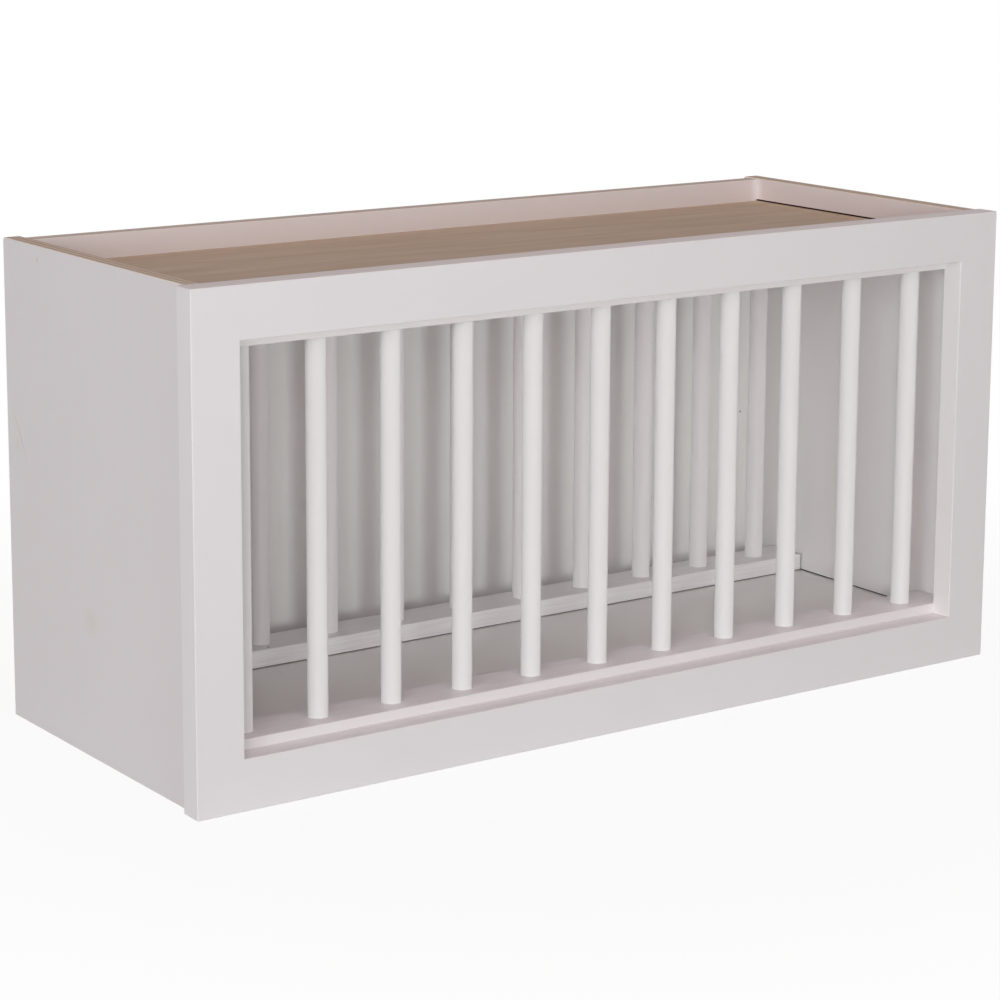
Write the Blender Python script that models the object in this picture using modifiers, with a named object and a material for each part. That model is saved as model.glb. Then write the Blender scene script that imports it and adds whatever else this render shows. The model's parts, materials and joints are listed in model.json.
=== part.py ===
"""Wall-hung plate rack: a plywood case behind a hardwood face frame, with two rows of upright dowels.

The case has two side panels, a deck above and a deck below that stand in grooves in the sides, and a
back panel that is set in a little.
Four flat rails lie on the decks, one pair behind the face frame and one pair further back, and each
pair holds a row of glued dowels. Plates stand on edge between the dowels.

Metres, +Z up. The front looks along -Y, and the origin is at the middle of the underside.
"""
import math

import bmesh
import bpy
from mathutils import Vector

# Overall size, over the face frame
WIDTH = 0.762
HEIGHT = 0.381
DEPTH = 0.3048

# Face frame
FRAME_THICKNESS = 0.01905
STILE_WIDTH = 0.0390
TOP_RAIL_WIDTH = 0.0396
BOTTOM_RAIL_WIDTH = 0.0390
FRAME_OVERHANG = 0.00635

# Plywood case
PLYWOOD = 0.0127
BACK_INSET = 0.00635
BACK_DROP = 0.0010
TOP_RECESS = 0.0203
BOTTOM_RECESS = 0.0192
CORNER_ROUND = 0.0030

# Grooves in the side panels that hold the decks' ends, each a little too high for its deck
GROOVE_DEPTH = 0.0045
TOP_GROOVE_PLAY = 0.0011
BOTTOM_GROOVE_PLAY = 0.0006

# Dowel rails
RAIL_DEPTH = 0.0390
RAIL_THICKNESS = 0.0148
RAIL_END_GAP = 0.0007
REAR_RAIL_TO_BACK = 0.0343

# Dowels
DOWEL_COUNT = 11
DOWEL_DIAMETER = 0.0156
DOWEL_END_MARGIN = 0.04045
SOCKET_DEPTH = 0.0100

# Pocket screws of the face frame
SCREW_LENGTH = 0.0320
SCREW_SHANK = 0.0040
SCREW_TIP = 0.0050
SCREW_HEAD = 0.0084
SCREW_HEAD_HEIGHT = 0.0018
POCKET_DIAMETER = 0.0095
POCKET_ANGLE = math.radians(15)
SCREW_SEAT_SETBACK = 0.0159
SCREW_PLACE_SHARES = (0.25, 0.75)

# Brads through the side panels into the decks
BRAD_LENGTH = 0.0318
BRAD_SHANK = 0.00125
BRAD_TIP = 0.0015
BRAD_HEAD = 0.0020
BRAD_HEAD_HEIGHT = 0.0006
BRAD_SET = 0.0016
BRAD_PLACE_SHARES = (0.14, 0.50, 0.86)

# Clearance between pieces that touch, and how far a cutter runs past a face
FIT_GAP = 0.0003
OVERRUN = 0.0100

# Facets of round pieces and of the rounded corner
DOWEL_SIDES = 24
SCREW_SIDES = 12
BRAD_SIDES = 8
CORNER_SEGMENTS = 4
SMOOTH_ANGLE = math.radians(40)
MERGE = 0.00001

# Planes that several pieces share
FRONT = -DEPTH / 2
BACK = DEPTH / 2
CASE_FRONT = FRONT + FRAME_THICKNESS + FIT_GAP
CASE_OUTSIDE = WIDTH / 2 - FRAME_OVERHANG
CASE_INSIDE = CASE_OUTSIDE - PLYWOOD
BACK_PANEL_REAR = BACK - BACK_INSET
BACK_PANEL_FRONT = BACK_PANEL_REAR - PLYWOOD
DECK_BACK = BACK_PANEL_FRONT - FIT_GAP
DECK_END = CASE_INSIDE + GROOVE_DEPTH - FIT_GAP
CEILING = HEIGHT - TOP_RECESS - PLYWOOD
FLOOR = BOTTOM_RECESS + PLYWOOD
LOWER_RAIL_TOP = FLOOR + RAIL_THICKNESS
UPPER_RAIL_BOTTOM = CEILING - RAIL_THICKNESS
OPENING_EDGE = WIDTH / 2 - STILE_WIDTH
RAIL_FRONTS = {
    "front": CASE_FRONT,
    "rear": BACK_PANEL_FRONT - REAR_RAIL_TO_BACK - RAIL_DEPTH,
}

# The dowels stand evenly between the two end margins
FIRST_DOWEL = DOWEL_END_MARGIN - CASE_INSIDE
DOWEL_PITCH = -2 * FIRST_DOWEL / (DOWEL_COUNT - 1)
DOWEL_PLACES = [FIRST_DOWEL + i * DOWEL_PITCH for i in range(DOWEL_COUNT)]


def clear_scene():
    """Removes whatever the new file holds."""
    for obj in list(bpy.data.objects):
        bpy.data.objects.remove(obj)


def new_collection(name):
    """A collection of that name, linked to the scene."""
    collection = bpy.data.collections.new(name)
    bpy.context.scene.collection.children.link(collection)
    return collection


def finish(name, colour, roughness, metallic=0.0):
    """A Principled material with one colour, roughness and metallic value."""
    material = bpy.data.materials.new(name)
    material.use_nodes = True
    shader = material.node_tree.nodes["Principled BSDF"]
    shader.inputs["Base Color"].default_value = (*colour, 1.0)
    shader.inputs["Roughness"].default_value = roughness
    shader.inputs["Metallic"].default_value = metallic
    return material


def place(name, mesh, location, material):
    """An object of the rack with that mesh, location and material."""
    obj = bpy.data.objects.new(name, mesh)
    obj.location = location
    if material.name not in mesh.materials:
        mesh.materials.append(material)
    RACK.objects.link(obj)
    return obj


def block_mesh(name, size):
    """A box mesh of that size about its own centre."""
    shape = bmesh.new()
    bmesh.ops.create_cube(shape, size=1.0)
    bmesh.ops.scale(shape, vec=size, verts=shape.verts)
    mesh = bpy.data.meshes.new(name)
    shape.to_mesh(mesh)
    shape.free()
    return mesh


def board(name, low, high, material):
    """A flat board between two opposite corners."""
    low = Vector(low)
    high = Vector(high)
    return place(name, block_mesh(name, high - low), (low + high) / 2, material)


def dowel_mesh(name, diameter, length):
    """A closed cylinder about its own centre, along Z, shaded smooth round its side."""
    shape = bmesh.new()
    bmesh.ops.create_cone(
        shape,
        cap_ends=True,
        segments=DOWEL_SIDES,
        radius1=diameter / 2,
        radius2=diameter / 2,
        depth=length,
    )
    mesh = bpy.data.meshes.new(name)
    shape.to_mesh(mesh)
    shape.free()
    mesh.shade_smooth()
    mesh.set_sharp_from_angle(angle=SMOOTH_ANGLE)
    return mesh


def turned_mesh(name, profile):
    """The outline of a turned piece: (radius, height) points from the top of the axis to its foot."""
    mesh = bpy.data.meshes.new(name)
    points = [(radius, 0.0, height) for radius, height in profile]
    mesh.from_pydata(points, [(i, i + 1) for i in range(len(points) - 1)], [])
    return mesh


def turn(obj, sides):
    """Revolves an object's outline about its Z axis."""
    screw = obj.modifiers.new("turn", "SCREW")
    screw.axis = "Z"
    screw.steps = sides
    screw.render_steps = sides
    screw.use_merge_vertices = True
    screw.merge_threshold = MERGE
    screw.use_smooth_shade = True


def make_cutter(name, mesh, location=(0, 0, 0)):
    """A hidden object that other pieces are cut by."""
    cutter = bpy.data.objects.new(name, mesh)
    cutter.location = location
    cutter.hide_render = True
    cutter.display_type = "WIRE"
    CUTTERS.objects.link(cutter)
    return cutter


def cut(obj, cutter):
    """Takes a cutter's shape out of an object."""
    modifier = obj.modifiers.new(cutter.name, "BOOLEAN")
    modifier.operation = "DIFFERENCE"
    modifier.solver = "EXACT"
    modifier.object = cutter


def fastener_profile(length, shank, tip, head, head_height):
    """Head above the seat at height 0, then a plain shank with a pointed tip below it."""
    return [
        (0.0, head_height),
        (head / 2, head_height),
        (head / 2, 0.0),
        (shank / 2, 0.0),
        (shank / 2, tip - length),
        (0.0, -length),
    ]


def bore_profile(length, shank, head, way_in):
    """The hole for a fastener: wide from the seat out to way_in, and narrow down past the tip."""
    foot = -length - FIT_GAP
    narrow = shank / 2 + FIT_GAP
    return [
        (0.0, way_in),
        (head / 2, way_in),
        (head / 2, -FIT_GAP),
        (narrow, -FIT_GAP),
        (narrow, foot),
        (0.0, foot),
    ]


def fasten(name, mesh, bore_mesh, sides, seat, direction, pieces):
    """Places one fastener with its seat at a point, driven along a direction, and bores the pieces."""
    turned = (-direction).to_track_quat("Z", "Y").to_euler()
    fastener = place(name, mesh, seat, STEEL)
    fastener.rotation_euler = turned
    turn(fastener, sides)
    bore = make_cutter(name + "_bore", bore_mesh, seat)
    bore.rotation_euler = turned
    turn(bore, sides)
    for piece in pieces:
        cut(piece, bore)


def make_face_frame():
    """Two full-height stiles with a top and a bottom rail butted between them."""
    stiles = {}
    for side, name in ((-1, "left_stile"), (1, "right_stile")):
        edges = sorted((side * OPENING_EDGE, side * WIDTH / 2))
        low = (edges[0], FRONT, 0)
        high = (edges[1], FRONT + FRAME_THICKNESS, HEIGHT)
        stiles[side] = board(name, low, high, PAINT)
    end = OPENING_EDGE - FIT_GAP
    rails = {
        "top": board(
            "top_rail",
            (-end, FRONT, HEIGHT - TOP_RAIL_WIDTH),
            (end, FRONT + FRAME_THICKNESS, HEIGHT),
            PAINT,
        ),
        "bottom": board(
            "bottom_rail",
            (-end, FRONT, 0),
            (end, FRONT + FRAME_THICKNESS, BOTTOM_RAIL_WIDTH),
            PAINT,
        ),
    }
    return stiles, rails


def make_side_panel(name, side):
    """A plywood side with its upper back corner rounded over."""
    edges = sorted((side * CASE_INSIDE, side * CASE_OUTSIDE))
    panel = board(name, (edges[0], CASE_FRONT, 0), (edges[1], BACK, HEIGHT), PAINT)
    shape = bmesh.new()
    shape.from_mesh(panel.data)
    back = max(vertex.co.y for vertex in shape.verts)
    top = max(vertex.co.z for vertex in shape.verts)
    corner = [
        edge
        for edge in shape.edges
        if all(vertex.co.y == back and vertex.co.z == top for vertex in edge.verts)
    ]
    bmesh.ops.bevel(
        shape,
        geom=corner,
        offset=CORNER_ROUND,
        segments=CORNER_SEGMENTS,
        profile=0.5,
        affect="EDGES",
    )
    shape.to_mesh(panel.data)
    shape.free()
    return panel


def make_decks():
    """The upper and the lower deck, which reach into the grooves at both ends."""
    top = board(
        "top_panel",
        (-DECK_END, CASE_FRONT, CEILING),
        (DECK_END, DECK_BACK, CEILING + PLYWOOD),
        BARE_PLY,
    )
    bottom = board(
        "bottom_panel",
        (-DECK_END, CASE_FRONT, BOTTOM_RECESS),
        (DECK_END, DECK_BACK, FLOOR),
        LINING,
    )
    return {"top": top, "bottom": bottom}


def groove_sides(sides):
    """Cuts a groove for each deck into the inner face of each side, open at the front edge."""
    spans = {
        "top": (CEILING - FIT_GAP, CEILING + PLYWOOD + TOP_GROOVE_PLAY),
        "bottom": (BOTTOM_RECESS - FIT_GAP, FLOOR + BOTTOM_GROOVE_PLAY),
    }
    for side, side_name in ((-1, "left"), (1, "right")):
        for deck_name, (foot, head) in spans.items():
            edges = sorted((side * (CASE_INSIDE - OVERRUN), side * (CASE_INSIDE + GROOVE_DEPTH)))
            low = Vector((edges[0], CASE_FRONT - OVERRUN, foot))
            high = Vector((edges[1], BACK_PANEL_FRONT, head))
            name = f"groove_{side_name}_{deck_name}"
            cut(sides[side], make_cutter(name, block_mesh(name, high - low), (low + high) / 2))


def make_back_panel():
    """The back, set in between the sides and a little below their top edges."""
    reach = CASE_INSIDE - FIT_GAP
    low = (-reach, BACK_PANEL_FRONT, 0)
    high = (reach, BACK_PANEL_REAR, HEIGHT - BACK_DROP)
    return board("back_panel", low, high, LINING)


def socket_mesh(depth, middle_heights):
    """One row of cylinders at the dowels' places for each height, as a single cutter."""
    shape = bmesh.new()
    for height in middle_heights:
        for x in DOWEL_PLACES:
            made = bmesh.ops.create_cone(
                shape,
                cap_ends=True,
                segments=DOWEL_SIDES,
                radius1=DOWEL_DIAMETER / 2 + FIT_GAP,
                radius2=DOWEL_DIAMETER / 2 + FIT_GAP,
                depth=depth,
            )
            bmesh.ops.translate(shape, vec=(x, 0, height), verts=made["verts"])
    mesh = bpy.data.meshes.new("dowel_sockets")
    shape.to_mesh(mesh)
    shape.free()
    return mesh


def make_dowel_row(row):
    """A lower and an upper rail with blind sockets, and the dowels that stand between them."""
    near = RAIL_FRONTS[row]
    far = near + RAIL_DEPTH
    end = CASE_INSIDE - RAIL_END_GAP
    lower = board(
        row + "_lower_dowel_rail",
        (-end, near, FLOOR + FIT_GAP),
        (end, far, LOWER_RAIL_TOP),
        PAINT,
    )
    upper = board(
        row + "_upper_dowel_rail",
        (-end, near, UPPER_RAIL_BOTTOM),
        (end, far, CEILING - FIT_GAP),
        PAINT,
    )
    middle = (near + far) / 2
    depth = SOCKET_DEPTH + OVERRUN
    centre = (OVERRUN - SOCKET_DEPTH) / 2
    heights = (LOWER_RAIL_TOP + centre, UPPER_RAIL_BOTTOM - centre)
    sockets = make_cutter(row + "_sockets", socket_mesh(depth, heights), (0, middle, 0))
    cut(lower, sockets)
    cut(upper, sockets)
    foot = LOWER_RAIL_TOP - SOCKET_DEPTH + FIT_GAP
    head = UPPER_RAIL_BOTTOM + SOCKET_DEPTH - FIT_GAP
    mesh = dowel_mesh(row + "_dowel", DOWEL_DIAMETER, head - foot)
    for number, x in enumerate(DOWEL_PLACES, start=1):
        place(f"{row}_dowel_{number:02d}", mesh, (x, middle, (foot + head) / 2), DOWEL_PAINT)


def make_pocket_screws(stiles, rails):
    """Two screws at each corner of the face frame, driven from the back of the rails into the stiles."""
    screw = turned_mesh(
        "pocket_screw",
        fastener_profile(SCREW_LENGTH, SCREW_SHANK, SCREW_TIP, SCREW_HEAD, SCREW_HEAD_HEIGHT),
    )
    pocket_length = FRAME_THICKNESS / math.sin(POCKET_ANGLE)
    bore = turned_mesh(
        "pocket_bore",
        bore_profile(SCREW_LENGTH, SCREW_SHANK, POCKET_DIAMETER, pocket_length),
    )
    rail_spans = {
        "top": (HEIGHT - TOP_RAIL_WIDTH, TOP_RAIL_WIDTH),
        "bottom": (0.0, BOTTOM_RAIL_WIDTH),
    }
    for rail_name, (low, width) in rail_spans.items():
        for side, side_name in ((-1, "left"), (1, "right")):
            direction = Vector((side * math.cos(POCKET_ANGLE), -math.sin(POCKET_ANGLE), 0))
            for number, share in enumerate(SCREW_PLACE_SHARES, start=1):
                joint = Vector(
                    (side * OPENING_EDGE, FRONT + FRAME_THICKNESS / 2, low + width * share)
                )
                fasten(
                    f"pocket_screw_{rail_name}_{side_name}_{number}",
                    screw,
                    bore,
                    SCREW_SIDES,
                    joint - direction * SCREW_SEAT_SETBACK,
                    direction,
                    (rails[rail_name], stiles[side]),
                )


def make_brads(sides, decks):
    """A row of set and filled brads through each side panel into each deck's end."""
    brad = turned_mesh(
        "brad",
        fastener_profile(BRAD_LENGTH, BRAD_SHANK, BRAD_TIP, BRAD_HEAD, BRAD_HEAD_HEIGHT),
    )
    bore = turned_mesh(
        "brad_bore",
        bore_profile(
            BRAD_LENGTH, BRAD_SHANK, BRAD_HEAD + 2 * FIT_GAP, BRAD_HEAD_HEIGHT + FIT_GAP
        ),
    )
    middles = {"top": CEILING + PLYWOOD / 2, "bottom": BOTTOM_RECESS + PLYWOOD / 2}
    seat_x = CASE_OUTSIDE - BRAD_SET - BRAD_HEAD_HEIGHT
    for side, side_name in ((-1, "left"), (1, "right")):
        for deck_name, height in middles.items():
            for number, share in enumerate(BRAD_PLACE_SHARES, start=1):
                along = CASE_FRONT + (DECK_BACK - CASE_FRONT) * share
                fasten(
                    f"brad_{side_name}_{deck_name}_{number}",
                    brad,
                    bore,
                    BRAD_SIDES,
                    Vector((side * seat_x, along, height)),
                    Vector((-side, 0, 0)),
                    (sides[side], decks[deck_name]),
                )


clear_scene()
RACK = new_collection("plate_rack")
CUTTERS = new_collection("cutters")
PAINT = finish("white_paint", (0.62, 0.60, 0.61), 0.45)
DOWEL_PAINT = finish("white_dowel_paint", (0.68, 0.67, 0.68), 0.40)
LINING = finish("prefinished_ply", (0.56, 0.53, 0.54), 0.50)
BARE_PLY = finish("bare_ply", (0.36, 0.25, 0.18), 0.75)
STEEL = finish("zinc_plated_steel", (0.55, 0.54, 0.50), 0.35, 1.0)

frame_stiles, frame_rails = make_face_frame()
side_panels = {
    -1: make_side_panel("left_side_panel", -1),
    1: make_side_panel("right_side_panel", 1),
}
case_decks = make_decks()
groove_sides(side_panels)
make_back_panel()
for row_name in RAIL_FRONTS:
    make_dowel_row(row_name)
make_pocket_screws(frame_stiles, frame_rails)
make_brads(side_panels, case_decks)
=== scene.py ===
# %% [markdown]
# # A painted plate rack
# The real object is a small wall cabinet without doors: a plywood case, a hardwood face frame and two rows of
# dowels that hold plates on edge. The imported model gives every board's place and size. Here each board gets
# eased edges, its paint or its bare wood, and the screws get their threads.

# %% Load the frame
import json
import math

import bmesh
import bpy
import numpy as np
from mathutils import Matrix, Vector

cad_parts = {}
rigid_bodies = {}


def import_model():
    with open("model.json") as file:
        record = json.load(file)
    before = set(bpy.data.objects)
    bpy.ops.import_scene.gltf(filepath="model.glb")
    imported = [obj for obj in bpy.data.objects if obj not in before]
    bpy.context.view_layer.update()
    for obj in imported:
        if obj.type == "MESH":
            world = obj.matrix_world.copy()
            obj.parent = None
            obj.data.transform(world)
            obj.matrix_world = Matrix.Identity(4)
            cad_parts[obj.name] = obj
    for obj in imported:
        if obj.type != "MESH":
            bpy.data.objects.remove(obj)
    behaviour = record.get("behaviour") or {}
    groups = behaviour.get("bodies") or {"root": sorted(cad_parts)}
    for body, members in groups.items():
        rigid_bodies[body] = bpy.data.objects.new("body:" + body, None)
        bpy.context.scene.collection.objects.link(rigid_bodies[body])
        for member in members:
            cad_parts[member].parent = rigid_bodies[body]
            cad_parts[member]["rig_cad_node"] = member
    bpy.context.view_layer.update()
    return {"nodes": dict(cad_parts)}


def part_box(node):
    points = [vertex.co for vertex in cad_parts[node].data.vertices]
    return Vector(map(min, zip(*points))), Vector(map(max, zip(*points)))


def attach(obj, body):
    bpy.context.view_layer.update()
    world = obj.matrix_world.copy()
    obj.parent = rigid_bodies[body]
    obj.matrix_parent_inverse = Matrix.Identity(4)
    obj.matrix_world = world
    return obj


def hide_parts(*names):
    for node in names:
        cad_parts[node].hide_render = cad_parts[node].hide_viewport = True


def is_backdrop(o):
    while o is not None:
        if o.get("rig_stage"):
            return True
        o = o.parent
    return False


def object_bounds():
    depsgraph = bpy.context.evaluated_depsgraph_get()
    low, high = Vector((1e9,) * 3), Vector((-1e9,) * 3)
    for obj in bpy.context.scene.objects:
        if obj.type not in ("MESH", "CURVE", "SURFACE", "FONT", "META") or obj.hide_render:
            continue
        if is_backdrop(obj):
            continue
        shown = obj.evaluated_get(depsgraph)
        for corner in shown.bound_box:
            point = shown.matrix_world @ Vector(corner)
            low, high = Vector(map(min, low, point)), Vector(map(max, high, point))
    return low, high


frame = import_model()

MM = 0.001

# %% [markdown]
# Paint colours are usually picked as sRGB hex values, but a shader works with linear light. One function
# turns the one into the other with the sRGB curve.


# %% Colour
def linear(code):
    """An sRGB hex colour as linear RGBA: divide by 12.92 near black, and elsewhere a power of 2.4."""
    srgb = np.array([int(code[i : i + 2], 16) for i in (1, 3, 5)]) / 255
    value = np.where(srgb <= 0.04045, srgb / 12.92, ((srgb + 0.055) / 1.055) ** 2.4)
    return (*value.tolist(), 1.0)


print("sRGB grey #808080 in linear light:", round(linear("#808080")[0], 3))

# %% [markdown]
# Every material is a small tree of nodes. Each node needs a type, a few settings, and for each input either a
# number or another node's output, so one function that takes all three is enough. A Mix node for colours
# (data type RGBA) has its share at input 0, its two colours at inputs 6 and 7, and the result at output 2.


# %% Nodes
def add(tree, kind, inputs=None, **settings):
    """One shader node with its settings; inputs are values or sockets, by the input's name or number."""
    made = tree.nodes.new("ShaderNode" + kind)
    for key, value in settings.items():
        setattr(made, key, value)
    for key, value in (inputs or {}).items():
        if isinstance(value, bpy.types.NodeSocket):
            tree.links.new(value, made.inputs[key])
        else:
            made.inputs[key].default_value = value
    return made


def stretched(tree, place, scale, detail, roughness=0.5, distortion=0.0):
    """The value of a noise whose features are about 1 / scale metres across on each axis."""
    drawn = add(tree, "Mapping", {"Vector": place, "Scale": scale})
    inputs = {"Vector": drawn.outputs[0], "Scale": 1.0, "Detail": detail, "Roughness": roughness}
    return add(tree, "TexNoise", {**inputs, "Distortion": distortion}).outputs["Fac"]


def new_material(name):
    """An empty material tree with a Principled shader on its output."""
    material = bpy.data.materials.new(name)
    material.use_nodes = True
    tree = material.node_tree
    tree.nodes.clear()
    shader = add(tree, "BsdfPrincipled")
    add(tree, "OutputMaterial", {"Surface": shader.outputs[0]})
    return material, tree, shader


# %% [markdown]
# ## Shapes
# A board could be a cube with a Bevel modifier, but its two faces and its edges need different finishes, and
# only some of its corners are rounded. So a board is a closed outline that is carried across its thickness.
# The outline shrinks over the first and last fraction of a millimetre, which eases the edges.

# %% Outline
ARC_STEPS = 4
SUPPORT = 0.5 * MM
POINT_RADIUS = 0.02 * MM


def outline(low, high, radii, inset=0.0):
    """Points round a rectangle, anticlockwise from its lower left corner.

    Each corner is a quarter circle about a centre one radius in from both edges, so a point is the centre
    plus the radius times (cos, sin). A support point lies on the straight before and after each arc. An inset
    keeps the centres and shortens the radii; past the radius the corner is a point.
    """
    radii = np.asarray(radii, float)
    reach = np.maximum(radii, inset + POINT_RADIUS)
    radius = np.maximum(radii - inset, POINT_RADIUS)[:, None, None]
    signs = np.array([(-1, -1), (1, -1), (1, 1), (-1, 1)])
    low, high = np.asarray(low, float), np.asarray(high, float)
    corners = np.where(signs > 0, high, low)
    centres = (corners - signs * reach[:, None])[:, None, :]
    turn = np.linspace(0, math.pi / 2, ARC_STEPS + 1)
    angle = math.pi + np.arange(4)[:, None] * math.pi / 2 + turn
    arc = centres + radius * np.stack([np.cos(angle), np.sin(angle)], axis=2)
    ahead = np.stack([-np.sin(angle), np.cos(angle)], axis=2)
    before = arc[:, :1] - SUPPORT * ahead[:, :1]
    after = arc[:, -1:] + SUPPORT * ahead[:, -1:]
    return np.concatenate([before, arc, after], axis=1).reshape(-1, 2)


test = outline((0, 0), (1, 1), [0.1] * 4)
print("outline points", len(test), "from", test.min(0), "to", test.max(0))

# %% [markdown]
# Boards, dowels and screws all have a section that goes on in one direction. Primitives and modifiers could
# make each of them in its own way. Here all are rings with the same number of points, and one function joins
# neighbouring rings with quads.


# %% Mesh from rings
def ring_faces(rings, points, closed):
    """Quads between neighbouring rings: each joins points j and j + 1 of one ring to those of the next."""
    ring = np.arange(rings if closed else rings - 1)[:, None]
    point = np.arange(points)[None, :]
    beyond = (ring + 1) % rings
    following = (point + 1) % points
    corners = [
        ring * points + point,
        ring * points + following,
        beyond * points + following,
        beyond * points + point,
    ]
    return np.stack(np.broadcast_arrays(*corners), axis=2).reshape(-1, 4)


def mesh_piece(name, points, quads, caps=(), smooth=True):
    """A mesh object in the scene from an array of points, an array of quads and a few larger cap faces."""
    mesh = bpy.data.meshes.new(name)
    mesh.from_pydata(points.tolist(), [], quads.tolist() + [list(map(int, cap)) for cap in caps])
    if smooth:
        mesh.shade_smooth()
    piece = bpy.data.objects.new(name, mesh)
    bpy.context.scene.collection.objects.link(piece)
    return piece


WELD_DISTANCE = POINT_RADIUS / 100


def face_outwards(piece):
    """Turns all the faces of a closed mesh outwards."""
    shape = bmesh.new()
    shape.from_mesh(piece.data)
    bmesh.ops.remove_doubles(shape, verts=shape.verts, dist=WELD_DISTANCE)
    bmesh.ops.recalc_face_normals(shape, faces=shape.faces)
    shape.to_mesh(piece.data)
    shape.free()


def set_materials(piece, materials, index=None):
    """Fills the piece's material slots in order, and gives each face its slot's number if there are several.

    The slots come first, because clearing them sets every face's number back to 0.
    """
    piece.data.materials.clear()
    for material in materials:
        piece.data.materials.append(material)
    if index is not None:
        piece.data.polygons.foreach_set("material_index", np.asarray(index, np.int32))


print("quads between two rings of four points:", len(ring_faces(2, 4, closed=False)))

# %% [markdown]
# The real edges are broken with sandpaper or softened by the paint, and without that small round no edge
# catches light and a board looks cut from card. The round is a few rows of points across the thickness, so
# its size is a number of its own and each row of faces can have its own finish.

# %% Eased board
EASE_STEPS = 3


def ease_rows(ease, low, high):
    """Insets and heights of the rows across a board: a quarter circle at each side, straight runs between."""
    turn = np.linspace(0, math.pi / 2, EASE_STEPS + 1)
    inset = ease * (1 - np.sin(turn))
    rise = ease * (1 - np.cos(turn))
    side = np.concatenate([[ease + SUPPORT], inset, [0.0]])
    up = np.concatenate([[0.0], rise, [ease + SUPPORT]])
    return np.concatenate([side, side[::-1]]), np.concatenate([low + up, high - up[::-1]])


def board(name, node, across, ease, materials, radii=(0, 0, 0, 0), joint=None, reach=(0, 0, 0)):
    """A board that stands for a node: the node's outline, carried along its thickness axis over the rows.

    materials are those of the low face, the edges with their easing, and the high face. radii round the
    outline's corners. Where a board is glued by its low or high face, joint names that face, and its easing
    gets the last material. reach is how much further the board goes on each axis, to close glue lines.
    """
    low, high = (np.array(corner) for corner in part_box(node))
    low, high = low - reach, high + reach
    first, second = (across + 1) % 3, (across + 2) % 3
    plane = [first, second]
    insets, heights = ease_rows(ease, low[across], high[across])
    radii = np.maximum(radii, ease)
    rings = []
    for inset, height in zip(insets, heights):
        flat = outline(low[plane], high[plane], radii, inset)
        ring = np.empty((len(flat), 3))
        ring[:, plane] = flat
        ring[:, across] = height
        rings.append(ring)
    count = len(rings[0])
    quads = ring_faces(len(rings), count, closed=False)
    last = (len(rings) - 1) * count
    caps = [np.arange(count)[::-1], last + np.arange(count)]
    piece = mesh_piece(name, np.concatenate(rings), quads, caps)
    row = np.repeat(np.arange(len(rings) - 1), count)
    finish = np.where(row == 0, 0, np.where(row == len(rings) - 2, 2, 1))
    if joint:
        from_joint = row if joint == "low" else len(rings) - 2 - row
        finish = np.where(from_joint <= EASE_STEPS, len(materials) - 1, finish)
    set_materials(piece, materials, np.concatenate([finish, [0, 2]]))
    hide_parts(node)
    return piece


print("rows across a board:", len(ease_rows(1 * MM, 0, 10 * MM)[0]))

# %% [markdown]
# ## Finishes
# A hand-finished surface has a few marks of its own: here a filled brad hole, a scratch, two pale stains,
# specks in the paint and knots in the veneer. They could be painted on an image, but that needs unwrapped
# surfaces. A soft spot of colour at a place on the object does the same with four nodes.

# %% Marks
MARK_CORE = 0.4


def marked(tree, place, tone, marks):
    """Lays soft marks over a colour. A mark is (centre, turn about X, half sizes, colour, share).

    A place's offset from the centre, divided by the half sizes, has a length that is 1 at the mark's edge.
    The mark keeps its share out to the core and fades to nothing at the edge.
    """
    for centre, turn, sizes, colour, share in marks:
        inside = add(
            tree,
            "Mapping",
            {"Vector": place, "Location": centre, "Rotation": (turn, 0, 0), "Scale": sizes},
            vector_type="TEXTURE",
        )
        reach = add(tree, "VectorMath", {0: inside.outputs[0]}, operation="LENGTH")
        fading = {"Value": reach.outputs["Value"], "From Min": MARK_CORE, "To Min": share, "To Max": 0.0}
        mix = {0: add(tree, "MapRange", fading).outputs[0], 6: tone, 7: linear(colour)}
        tone = add(tree, "Mix", mix, data_type="RGBA").outputs[2]
    return tone


# %% [markdown]
# Two places get painted shade. Above the top deck the paint is painted darker and pinkish, as painted shade
# with warm light bounced from the bare veneer, and at the right the ends of the boards are painted dark where
# they enter their joints, as painted shade. Separate faces for them would have to be cut into the boards. Both
# places are known from the boards' sizes, so a limit on one coordinate finds them instead.


# %% Painted shade in the recess and the joints
RECESS_SHADE = "#e9dedd"
JOINT_SHADE = "#3b2011"
CROSSOVER = 0.3 * MM


def past(tree, value, limit):
    """0 below the limit and 1 above it, with a crossover of a fraction of a millimetre."""
    inputs = {"Value": value, "From Min": limit, "From Max": limit + CROSSOVER}
    return add(tree, "MapRange", inputs).outputs[0]


def painted_recess_shade(tree, place, tone, height):
    """Painted shade and warm bounce light above a height: the part of the case that shows only from above."""
    parts = add(tree, "SeparateXYZ", {0: place})
    mix = {0: past(tree, parts.outputs["Z"], height), 6: tone, 7: linear(RECESS_SHADE)}
    return add(tree, "Mix", mix, data_type="RGBA").outputs[2]


def shaded_ends(tree, place, tone, reach):
    """Painted shade where |X| is more than reach: a board's ends darkened where they go into a joint."""
    parts = add(tree, "SeparateXYZ", {0: place})
    away = add(tree, "Math", {0: parts.outputs["X"]}, operation="ABSOLUTE")
    mix = {0: past(tree, away.outputs[0], reach), 6: tone, 7: linear(JOINT_SHADE)}
    return add(tree, "Mix", mix, data_type="RGBA").outputs[2]


# %% [markdown]
# The paint is a satin white lacquer, taken to be sprayed over maple and birch. It hides the colour of the
# wood, but the grain shows through as shallow ridges, and the spray leaves a fine orange peel. Both are bump,
# because they are too shallow to model. Inside the case the paint is written lighter than on the frame,
# because a render follows light for fewer bounces in there than happen in a real case.

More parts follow.
